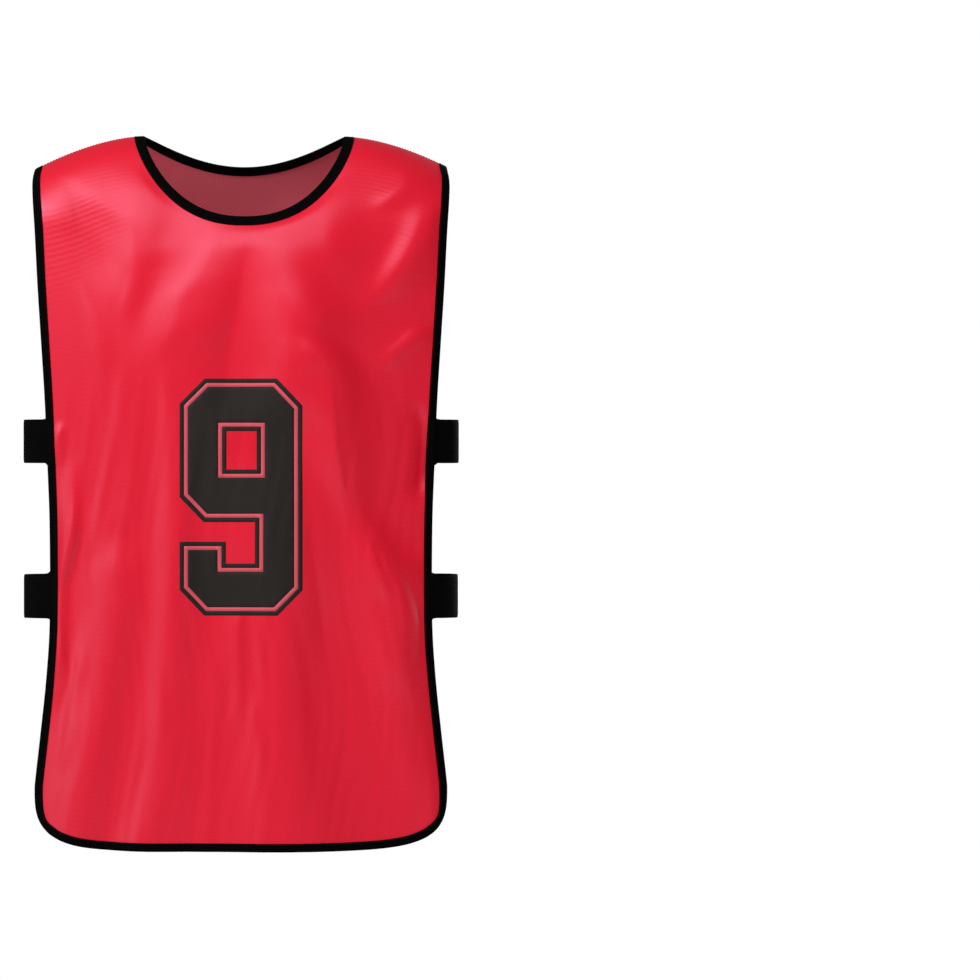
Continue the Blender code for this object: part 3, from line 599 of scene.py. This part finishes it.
def insideLoop(points, loop):
    # whether each cloth point lies in a closed loop
    x, y = points[:, 0][:, None], points[:, 1][:, None]
    x1, y1 = loop[:, 0][None], loop[:, 1][None]
    x0, y0 = np.roll(loop[:, 0], 1)[None], np.roll(loop[:, 1], 1)[None]
    crosses = (y0 > y) != (y1 > y)
    with np.errstate(divide="ignore", invalid="ignore"):
        right = x < (x1 - x0) * (y - y0) / (y1 - y0) + x0
    return (crosses & right).sum(axis=1) % 2 == 1


def trianglesIn(loops, pitch, holds):
    # even triangles over cloth loops, at most a pitch wide; holds says which triangle centres are kept
    tree = kdtree.KDTree(sum(len(loop) for loop in loops))
    corners, edges = [], []
    for loop in loops:
        first = len(corners)
        for k, point in enumerate(loop):
            tree.insert((point[0], point[1], 0.0), len(corners))
            corners.append(point)
            edges.append((first + k, first + (k + 1) % len(loop)))
    tree.balance()
    everything = np.concatenate(loops)
    low, high = everything.min(axis=0), everything.max(axis=0)
    columns = np.arange(low[0], high[0], pitch)
    lines = np.arange(low[1], high[1], pitch * 0.87)
    grid = np.array([(x + (0.5 * pitch if j % 2 else 0.0), s) for j, s in enumerate(lines) for x in columns])
    grid = grid[holds(grid)]
    grid = np.array([p for p in grid if tree.find((p[0], p[1], 0.0))[2] > 0.6 * pitch])
    coords = [Vector(p) for p in np.concatenate([np.array(corners), grid])]
    found, _, faces, _, _, _ = delaunay_2d_cdt(coords, edges, [], 1, 1e-8)
    points = np.array([tuple(p) for p in found])
    faces = np.array([tuple(f) for f in faces if len(f) == 3])
    return points, faces[holds(points[faces].mean(axis=1))]


panelCut = {
    "pitch": 3.3 * mm,       # grid of the fine cloth
    "thickness": 0.6 * mm,
    "seamGap": 0.15 * mm,    # from each panel to the middle of the shoulder seam
}


def panelLoop(side):
    # the panel's whole outline in cloth coordinates, as one loop
    neck = evenly(side, neckLine(side), panelCut["pitch"])
    outer = evenly(side, outerLine(), panelCut["pitch"])
    seam = bib["shoulderHalf"] - bib["neckHalf"]
    steps = max(2, round(seam / panelCut["pitch"]))
    share = np.arange(1, steps)[:, None] / steps
    rightSeam = outer[-1] + (neck[-1] - outer[-1]) * share
    leftSeam = neck[0] + (outer[0] - neck[0]) * share
    return np.concatenate([outer, rightSeam, neck[::-1], leftSeam])


def buildPanel(side, name, node):
    loop = panelLoop(side)
    cloth, faces = trianglesIn([loop], panelCut["pitch"], lambda points: insideLoop(points, loop))
    cloth[:, 1] = np.maximum(cloth[:, 1], panelCut["seamGap"])
    lift = panelCut["thickness"] / 2
    points, allFaces, slots, uv = layered(side, cloth, faces, lift, -lift)
    piece = addPiece(name, points, allFaces, uv, [knitFace, knitInside], slots, [node])
    corners = points[faces]
    crossed = np.cross(corners[:, 1] - corners[:, 0], corners[:, 2] - corners[:, 0])
    area = np.linalg.norm(crossed, axis=1).sum() / 2
    print(name, "has", len(allFaces), "faces and", round(area, 3), "square metres of cloth")
    return piece, area


frontPanel, frontArea = buildPanel(front, "frontPanel", "front_panel")
backPanel, backArea = buildPanel(back, "backPanel", "back_panel")


# Tapes are folded over the edge and follow the cloth inside it
tapes = {
    # each width is that of one face at the hem or the lowest point, and how much more it is at the sides
    "neckWidth": (8.7 * mm, 0.0),
    "edgeWidth": (5.9 * mm, 0.7 * mm),
    "outer": 1.3 * mm,       # from the middle of the cloth to the tape's face
    "inner": 0.4 * mm,       # from the middle of the cloth to the tape's back
    "reach": {"neck": 1.3 * mm, "edge": 2.2 * mm},  # how far the fold stands past the cloth's edge
    "step": 3.0 * mm,
    "stitchLength": 2.7 * mm,
    "stitchPitch": 3.6 * mm,
    "stitchRadius": 0.22 * mm,
}


def carriedAlong(side, line, turn, width, profile):
    # a profile of (share of the width inward, way past the edge, way out of the cloth) at every line point
    place, out = surface(side, line), outward(side, line)
    alongX, alongS = slopes(side, line)
    inward = unit(np.cross(out, np.gradient(place, axis=0)) * (-side * turn))
    pairs = ((alongX, alongX), (alongX, alongS), (alongS, alongS))
    a, b, c = ((first * second).sum(axis=1) for first, second in pairs)
    p, q = (inward * alongX).sum(axis=1), (inward * alongS).sum(axis=1)
    # the same way inward, in cloth coordinates; at both ends it runs along the shoulder seam
    way = np.stack([p * c - q * b, q * a - p * b], axis=-1) / (a * c - b * b)[:, None]
    for end, sign in ((0, turn), (-1, -turn)):
        way[end] = (sign / np.sqrt(a[end]), 0.0)
        inward[end] = alongX[end] * way[end, 0]
    widths = width[0] + width[1] * np.abs(inward[:, 0])
    columns = []
    for share, past, lift in profile:
        cloth = line + way * (widths * share)[:, None]
        cloth[:, 1] = np.maximum(cloth[:, 1], 0.0)
        columns.append(surface(side, cloth) + outward(side, cloth) * lift - inward * past)
    return np.stack(columns, axis=1)


def carried(lineOf, turn, width, profile, step):
    # the same profile on one closed run: along the front, over a shoulder and back along the back
    lines = [(side, evenly(side, lineOf(side), step)) for side in (front, back)]
    first, second = (carriedAlong(side, line, turn, width, profile) for side, line in lines)
    # the two panels meet at each shoulder seam, so the end stations there are one
    start, end = (first[0] + second[0]) / 2, (first[-1] + second[-1]) / 2
    return np.concatenate([start[None], first[1:-1], end[None], second[-2:0:-1]])


def foldedProfile(reach):
    # section of a tape folded over an edge, with a round fold and softly rounded cut edges
    outer, inner = tapes["outer"], tapes["inner"]
    face = [
        (1.0, 0.0, inner), (1.02, 0.0, (outer + inner) / 2), (0.97, 0.0, outer * 0.97), (0.82, 0.0, outer),
        (0.6, 0.0, outer), (0.35, 0.0, outer * 1.03), (0.1, 0.0, outer * 1.02)]
    bend = [(0.0, reach * math.sin(a), outer * math.cos(a)) for a in np.linspace(0.2, math.pi - 0.2, 8)]
    mirrored = [(share, past, -lift) for share, past, lift in face[::-1]]
    inside = [
        (0.5, 0.0, -inner), (0.0, 0.0, -inner), (0.0, inner * 1.5, 0.0), (0.0, 0.0, inner),
        (0.5, 0.0, inner)]
    return face + bend + mirrored + inside


def lengths(place):
    # how far along a line each of its points lies
    return np.concatenate([[0.0], np.cumsum(np.linalg.norm(np.diff(place, axis=0), axis=1))])


def tubeFaces(count, ring, closed):
    # faces between rings of points that follow one another, and from the last to the first if closed
    faces = []
    for i in range(count if closed else count - 1):
        j = (i + 1) % count
        for k in range(ring):
            m = (k + 1) % ring
            faces.append((i * ring + k, i * ring + m, j * ring + m, j * ring + k))
    return faces


def buildTape(name, node, lineOf, turn, width, reach):
    # one closed tape along a line of both panels; turn is 1 if the cloth of the front lies to the left of the
    # line as it runs, and -1 if to its right
    profile = foldedProfile(reach)
    rings = carried(lineOf, turn, width, profile, tapes["step"])
    count, ringSize = rings.shape[:2]
    ends = np.concatenate([rings[:, 3], rings[:1, 3]])
    along, around = lengths(ends), lengths(rings[count // 4])
    uv = np.stack(np.broadcast_arrays(along[:-1, None], around[None]), axis=-1)
    faces = tubeFaces(count, ringSize, True)
    piece = addPiece(
        name, rings.reshape(-1, 3), faces, uv.reshape(-1, 2), [blackTape], None, [node])
    print(name, "is", round(along[-1], 3), "m long")
    return piece, along[-1]


neckTape, neckTapeLength = buildTape(
    "neckTape", "neck_binding", neckLine, -1, tapes["neckWidth"], tapes["reach"]["neck"])
edgeTape, edgeTapeLength = buildTape(
    "edgeTape", "edge_binding", lambda side: outerLine(), 1, tapes["edgeWidth"], tapes["reach"]["edge"])


def stitchesAt(name, middles, ways, ups, material, length=tapes["stitchLength"]):
    # one mesh of short threads, each sunk at both ends and raised in the middle
    radius = tapes["stitchRadius"]
    # along the thread: share of its length, and its lift and thickness in radii
    rows = [(-0.5, -0.9, 0.5), (-0.3, 0.5, 1.0), (0.0, 0.8, 1.0), (0.3, 0.5, 1.0), (0.5, -0.9, 0.5)]
    sides = 5
    points, faces, uv = [], [], []
    for middle, way, up in zip(middles, ways, ups):
        first = len(points)
        aside = np.cross(way, up)
        for share, lift, thick in rows:
            centre = middle + way * (share * length) + up * (lift * radius)
            for k in range(sides):
                angle = 2 * math.pi * k / sides
                points.append(centre + (aside * math.cos(angle) + up * math.sin(angle)) * radius * thick)
                uv.append((share * length, k * radius))
        for r in range(len(rows) - 1):
            for k in range(sides):
                a, b = first + r * sides + k, first + r * sides + (k + 1) % sides
                faces.append((a, b, b + sides, a + sides))
        faces.append(tuple(first + k for k in reversed(range(sides))))
        faces.append(tuple(first + (len(rows) - 1) * sides + k for k in range(sides)))
    return addPiece(name, points, faces, uv, [material])


def stitchRows(lineOf, turn, width, share):
    # places, ways along and ways up of a row on both faces of a tape
    profile = [(share, 0.0, lift) for lift in (tapes["outer"], 0.0, -tapes["outer"])]
    rows = carried(lineOf, turn, width, profile, tapes["stitchPitch"])
    along = unit(np.roll(rows[:, 1], -1, axis=0) - np.roll(rows[:, 1], 1, axis=0))
    middles = np.concatenate([rows[:, 0], rows[:, 2]])
    ups = np.concatenate([unit(rows[:, 0] - rows[:, 1]), unit(rows[:, 2] - rows[:, 1])])
    return middles, np.concatenate([along, along]), ups


neckStitches = stitchesAt(
    "neckTapeStitches", *stitchRows(neckLine, -1, tapes["neckWidth"], 0.87), blackThread)
edgeStitches = stitchesAt(
    "edgeTapeStitches", *stitchRows(lambda side: outerLine(), 1, tapes["edgeWidth"], 0.80), blackThread)
print("tapes sewn")


straps = {
    "drops": {"upper": 299.5 * mm, "lower": 450.5 * mm},  # of each strap's middle
    "reach": 211.5 * mm,     # from the bib's middle to the strap's outermost line
    "height": 42.0 * mm,
    "thickness": 1.4 * mm,
    "tuck": 5.0 * mm,
    "flare": 3.6 * mm,       # how much each edge spreads where the tape holds it
    "flareLength": 6.0 * mm,
    "seat": 2.8 * mm,        # from the cloth's middle to the elastic's middle, under the tape
    "pastTape": 1.3 * mm,    # from the cloth's edge to where the strap leaves the tape
    "pulls": (0.45, 0.55),   # how far the strap keeps its way at the tape and at its outermost line
    "steps": 22,
    "rows": 13,
}


def strapHalf(hand, side, drop):
    # half of the strap's middle line at one height, from its hidden end to the outermost point
    half = smoothRows(sections, np.array([drop]))[0, 0]
    tucked = []
    for inward in (straps["tuck"], straps["tuck"] / 2, 0.0):
        cloth = toCloth(np.array([hand * (half - inward)]), np.array([drop]))
        tucked.append((surface(side, cloth) - outward(side, cloth) * straps["seat"])[0])
    way = tucked[2] - tucked[1]
    way /= np.linalg.norm(way)
    start = tucked[2] + way * straps["pastTape"]
    turn = np.array([hand * straps["reach"], 0.0, -drop])
    pullStart = start + way * np.linalg.norm(turn - start) * straps["pulls"][0]
    pullTurn = turn + np.array([0.0, side * abs(start[1]) * straps["pulls"][1], 0.0])
    t = np.linspace(0.0, 1.0, straps["steps"])[:, None]
    curve = start * (1 - t) ** 3 + pullStart * 3 * t * (1 - t) ** 2
    curve = curve + pullTurn * 3 * t**2 * (1 - t) + turn * t**3
    return np.concatenate([tucked[:2], curve])


def buildStrap(place, hand):
    name = "sideStrap" + place.capitalize() + ("Left" if hand < 0 else "Right")
    node = f"side_strap_{place}_" + ("left" if hand < 0 else "right")
    middle = straps["drops"][place]
    line = np.concatenate([strapHalf(hand, front, middle), strapHalf(hand, back, middle)[-2::-1]])
    line[:, 2] = -middle
    travelled = lengths(line)
    edgeAt = travelled[2]
    fromTape = np.minimum(np.abs(travelled - edgeAt), np.abs(travelled - (travelled[-1] - edgeAt)))
    free = (travelled > edgeAt) & (travelled < travelled[-1] - edgeAt)
    spread = np.clip(1.0 - fromTape / straps["flareLength"], 0.0, 1.0) ** 2
    flare = np.where(free, spread, 1.0) * straps["flare"]
    run = np.gradient(line, axis=0)
    out = unit(np.stack([run[:, 1], -run[:, 0], np.zeros(len(line))], axis=-1))
    up = np.array([0.0, 0.0, 1.0])
    shares = np.linspace(-1.0, 1.0, straps["rows"])
    lift = straps["thickness"] / 2
    # the section: up one face and down the other, a little thinner at its selvedges
    section = [(share, lift * (1.0 if abs(share) < 0.97 else 0.5)) for share in shares]
    section += [(share, -thick) for share, thick in section[::-1]]
    points, uv = [], []
    for k, centre in enumerate(line):
        half = straps["height"] / 2 + flare[k]
        for share, thick in section:
            points.append(centre + up * (share * half) + out[k] * thick)
            uv.append((travelled[k], share * half))
    ring = len(section)
    faces = tubeFaces(len(line), ring, False)
    faces.append(tuple(reversed(range(ring))))
    faces.append(tuple(range((len(line) - 1) * ring, len(line) * ring)))
    faces = [f[::-1] for f in faces] if hand < 0 else faces
    piece = addPiece(name, points, faces, uv, [blackElastic], None, [node])
    return piece, travelled[-1]


sideStraps = [buildStrap(place, hand) for place in straps["drops"] for hand in (-1, 1)]
print("straps:", [round(length, 3) for _, length in sideStraps], "m long")


def strapTacks():
    # two short rows of stitches across each strap's end, on the tape that holds it
    pitch = tapes["stitchPitch"]
    middles, ways, ups = [], [], []
    for share in (0.22, 0.42):
        row = stitchRows(lambda side: outerLine(), 1, tapes["edgeWidth"], share)
        for drop in straps["drops"].values():
            reach = straps["height"] / 2 - pitch / 2
            chosen = np.abs(row[0][:, 2] + drop) < reach
            for gathered, found in zip((middles, ways, ups), row):
                gathered.append(found[chosen])
    rows = (np.concatenate(part) for part in (middles, ways, ups))
    return stitchesAt("strapTacks", *rows, blackThread)


strapStitches = strapTacks()


# Shoulder seams: a low welt over the joint of the two panels, topstitched on both sides
seams = {
    "weltHalf": 2.2 * mm,
    "weltRise": 0.55 * mm,
    "rowAside": 1.5 * mm,    # from the seam to each row of topstitches
    "stitchLength": 2.2 * mm,
    "underTape": 0.8,        # share of each tape's width at which the welt ends, hidden by the tape
    "steps": 34,
}


def seamCloth(hand, aside):
    # cloth points beside a shoulder seam, between the two tapes; aside below 0 is on the front
    start = bib["neckHalf"] + hand * bib["neckShift"] + tapes["neckWidth"][0] * seams["underTape"]
    end = bib["shoulderHalf"] - sum(tapes["edgeWidth"]) * seams["underTape"]
    x = np.linspace(start, end, seams["steps"]) * hand
    side = front if aside < 0 else back
    cloth = np.stack([x, np.full_like(x, max(abs(aside), 0.05 * mm))], axis=-1)
    reach = np.linalg.norm(slopes(side, cloth)[1], axis=1)
    cloth[:, 1] /= reach
    return side, cloth


def buildSeam(hand):
    name = "shoulderSeam" + ("Left" if hand < 0 else "Right")
    halfWidth = seams["weltHalf"]
    # across the welt: share of its half width, and share of its rise
    section = [
        (-1.0, -0.2), (-0.85, 0.55), (-0.4, 0.95), (-0.02, 0.75), (0.02, 0.75), (0.4, 0.95), (0.85, 0.55),
        (1.0, -0.2)]
    columns = []
    for across, rise in section:
        side, cloth = seamCloth(hand, across * halfWidth)
        lift = panelCut["thickness"] / 2 + rise * seams["weltRise"]
        columns.append((surface(side, cloth) + outward(side, cloth) * lift, cloth * (1, side)))
    points = np.concatenate([column for column, _ in columns])
    uv = np.concatenate([cloth for _, cloth in columns])
    count, steps = len(section), seams["steps"]
    under = count * steps
    low = [surface(side, cloth) + outward(side, cloth) * panelCut["thickness"] * 0.3
           for side, cloth in (seamCloth(hand, across * halfWidth) for across, _ in section)]
    points = np.concatenate([points, np.concatenate(low)])
    uv = np.concatenate([uv, uv])
    faces = []
    for c in range(count - 1):
        for k in range(steps - 1):
            a, b = c * steps + k, (c + 1) * steps + k
            faces.append((a, b, b + 1, a + 1))
            faces.append((a + under, a + 1 + under, b + 1 + under, b + under))
    rim = [c * steps for c in range(count)] + [(count - 1) * steps + k for k in range(1, steps)]
    rim += [c * steps + steps - 1 for c in range(count - 2, -1, -1)] + list(range(steps - 2, 0, -1))
    for a, b in zip(rim, rim[1:] + rim[:1]):
        faces.append((b, a, a + under, b + under))
    faces = faces if hand < 0 else [f[::-1] for f in faces]
    return addPiece(name, points, faces, uv, [knitFace], None, ())


def seamStitches():
    middles, ways, ups = [], [], []
    for hand in (-1, 1):
        for aside in (-seams["rowAside"], seams["rowAside"]):
            side, cloth = seamCloth(hand, aside)
            rise = panelCut["thickness"] / 2 + seams["weltRise"]
            place = surface(side, cloth) + outward(side, cloth) * rise
            middles.extend(place)
            ways.extend(unit(np.gradient(place, axis=0)))
            ups.extend(outward(side, cloth))
    return stitchesAt("shoulderSeamStitches", middles, ways, ups, redThread, seams["stitchLength"])


shoulderSeams = [buildSeam(-1), buildSeam(1)]
seamThread = seamStitches()
print("shoulder seams sewn")


# Printed numeral: plain block figure in black with a pale inline, a film that follows the cloth's folds
numeral = {
    "middle": (-0.2 * mm, 353.8 * mm),  # across, drop
    "outline": [  # across, up from the middle, in mm
        (-59, 90), (-35, 114), (34.5, 114), (59, 88), (59, -89.5), (35, -114), (-35.5, -114), (-59, -89),
        (-59, -43), (-14.5, -43), (-14.5, -64), (13.5, -64), (13.5, -24), (-36, -24), (-59, 0)],
    "hole": [(-14, 63.5), (15, 63.5), (15, 26.5), (-14, 26.5)],
    "band": 4.2,     # mm of black outside the inline
    "inline": 3.7,   # mm
    "pitch": 3.2 * mm,
    "film": 0.1 * mm,
    "gap": 0.09 * mm,        # lets the film bridge the knit without touching it
}


def inset(loop, distance):
    # a loop moved inward by a distance at every side; the loop runs clockwise
    loop = np.array(loop, float)
    way = unit(np.roll(loop, -1, axis=0) - loop)
    normal = np.stack([way[:, 1], -way[:, 0]], axis=-1)
    moved = []
    for k in range(len(loop)):
        a, b = loop[k] + normal[k - 1] * distance, loop[k] + normal[k] * distance
        cross = way[k - 1][0] * way[k][1] - way[k - 1][1] * way[k][0]
        gap = b - a
        share = (gap[0] * way[k][1] - gap[1] * way[k][0]) / cross
        moved.append(a + way[k - 1] * share)
    return np.array(moved)


def onCloth(loop, pitch):
    # a loop of the numeral as dense cloth points
    loop = np.asarray(loop, float) * mm * (1, -1) + numeral["middle"]
    points = []
    for a, b in zip(loop, np.roll(loop, -1, axis=0)):
        steps = max(1, round(np.linalg.norm(b - a) / pitch))
        points.extend(a + (b - a) * k / steps for k in range(steps))
    points = np.array(points)
    return toCloth(points[:, 0], points[:, 1])


def buildNumeral():
    outside, hole = numeral["outline"], numeral["hole"]
    first, second = numeral["band"], numeral["band"] + numeral["inline"]
    rings = [outside, inset(outside, first), inset(outside, second)]
    rings += [hole, inset(hole, -first), inset(hole, -second)]
    loops = [onCloth(ring, numeral["pitch"]) for ring in rings]

    def printed(points):
        return insideLoop(points, loops[0]) & ~insideLoop(points, loops[3])

    cloth, faces = trianglesIn(loops, numeral["pitch"], printed)
    centres = cloth[faces].mean(axis=1)
    inline = insideLoop(centres, loops[1]) & ~insideLoop(centres, loops[2])
    inline |= insideLoop(centres, loops[5]) & ~insideLoop(centres, loops[4])
    low = panelCut["thickness"] / 2 + numeral["gap"]
    high = low + numeral["film"]
    pieces = []
    for name, chosen, ink in (("numeralBlack", ~inline, blackInk), ("numeralInline", inline, paleInk)):
        used, packed = np.unique(faces[chosen], return_inverse=True)
        points, allFaces, _, uv = layered(front, cloth[used], packed.reshape(-1, 3), high, low)
        pieces.append(addPiece(name, points, allFaces, uv, [ink]))
    return pieces


numeralPieces = buildNumeral()
print("numeral printed")

# Studio: a pale floor below the hem, soft light and the photograph's long lens
studio = {
    "floorDrop": 1.02,
    "floorRadius": 2.3,
    "cameraAway": 6.0,
    "cameraDrop": 0.347,
    "pixelSize": 0.98 * mm,   # on the bib's middle plane
    "imageSide": 980,
    "bibAcross": 241.2,       # the bib's middle in the picture, in pixels from the left
    "chest": (0.0, -0.1, -0.3),  # what the lights are aimed at
    # name, place and size in metres, watts, and whether it shows in the cloth's gloss: the fill doesn't, as
    # if it were scattered off the studio's walls
    "softboxes": [
        ("keySoftbox", (-3.0, -1.9, 1.7), (1.4, 1.4), 68.0, True),
        ("sideSoftbox", (-3.6, -0.9, 0.4), (1.4, 1.4), 12.5, True),
        ("topSoftbox", (-0.45, -1.0, 1.0), (1.5, 1.1), 16.0, True),
        ("fillSoftbox", (1.1, -1.45, -0.2), (0.9, 1.2), 10.5, False),
        ("backSoftbox", (1.9, 2.1, 0.4), (1.8, 1.4), 34.0, True),
    ],
    "skySeen": 1.0,           # the white behind the bib
    "skyLight": 0.12,         # what that white gives the bib
}


def buildFloor():
    mesh = bpy.data.meshes.new("studioFloor")
    ring = [(studio["floorRadius"] * math.cos(a), studio["floorRadius"] * math.sin(a), -studio["floorDrop"])
            for a in np.linspace(0.0, 2 * math.pi, 96, endpoint=False)]
    mesh.from_pydata(ring, [], [tuple(range(len(ring)))])
    mesh.materials.append(floorMaterial())
    floor = bpy.data.objects.new("studioFloor", mesh)
    bpy.context.scene.collection.objects.link(floor)


def buildCamera():
    data = bpy.data.cameras.new("photoCamera")
    data.sensor_width = 36.0
    data.lens = data.sensor_width * studio["cameraAway"] / (studio["imageSide"] * studio["pixelSize"])
    data.clip_end = 50.0
    camera = bpy.data.objects.new("photoCamera", data)
    bpy.context.scene.collection.objects.link(camera)
    camera.location = (0.0, -studio["cameraAway"], -studio["cameraDrop"])
    aside = (studio["imageSide"] / 2 - studio["bibAcross"]) * studio["pixelSize"]
    camera.rotation_euler = (math.pi / 2, 0.0, -math.atan(aside / studio["cameraAway"]))
    bpy.context.scene.camera = camera


def addLight(name, place, size, watts, glossy):
    data = bpy.data.lights.new(name, "AREA")
    data.shape = "RECTANGLE"
    data.size, data.size_y = size
    data.energy = watts
    light = bpy.data.objects.new(name, data)
    bpy.context.scene.collection.objects.link(light)
    light.location = place
    light.visible_glossy = glossy
    light.rotation_euler = (Vector(studio["chest"]) - Vector(place)).to_track_quat("-Z", "Y").to_euler()


def buildWorld():
    world = bpy.data.worlds.new("studioWorld")
    bpy.context.scene.world = world
    world.use_nodes = True
    tree = world.node_tree
    tree.nodes.clear()
    white = linear("#ffffff")
    seen = addNode(tree, "ShaderNodeBackground", {"Color": white, "Strength": studio["skySeen"]})
    lit = addNode(tree, "ShaderNodeBackground", {"Color": white, "Strength": studio["skyLight"]})
    toCamera = addNode(tree, "ShaderNodeLightPath").outputs["Is Camera Ray"]
    mix = addNode(tree, "ShaderNodeMixShader", {0: toCamera, 1: lit.outputs[0], 2: seen.outputs[0]})
    addNode(tree, "ShaderNodeOutputWorld", {"Surface": mix.outputs[0]})


buildFloor()
buildCamera()
for softbox in studio["softboxes"]:
    addLight(*softbox)
buildWorld()
bpy.context.scene.view_settings.view_transform = "Standard"
print("studio ready")
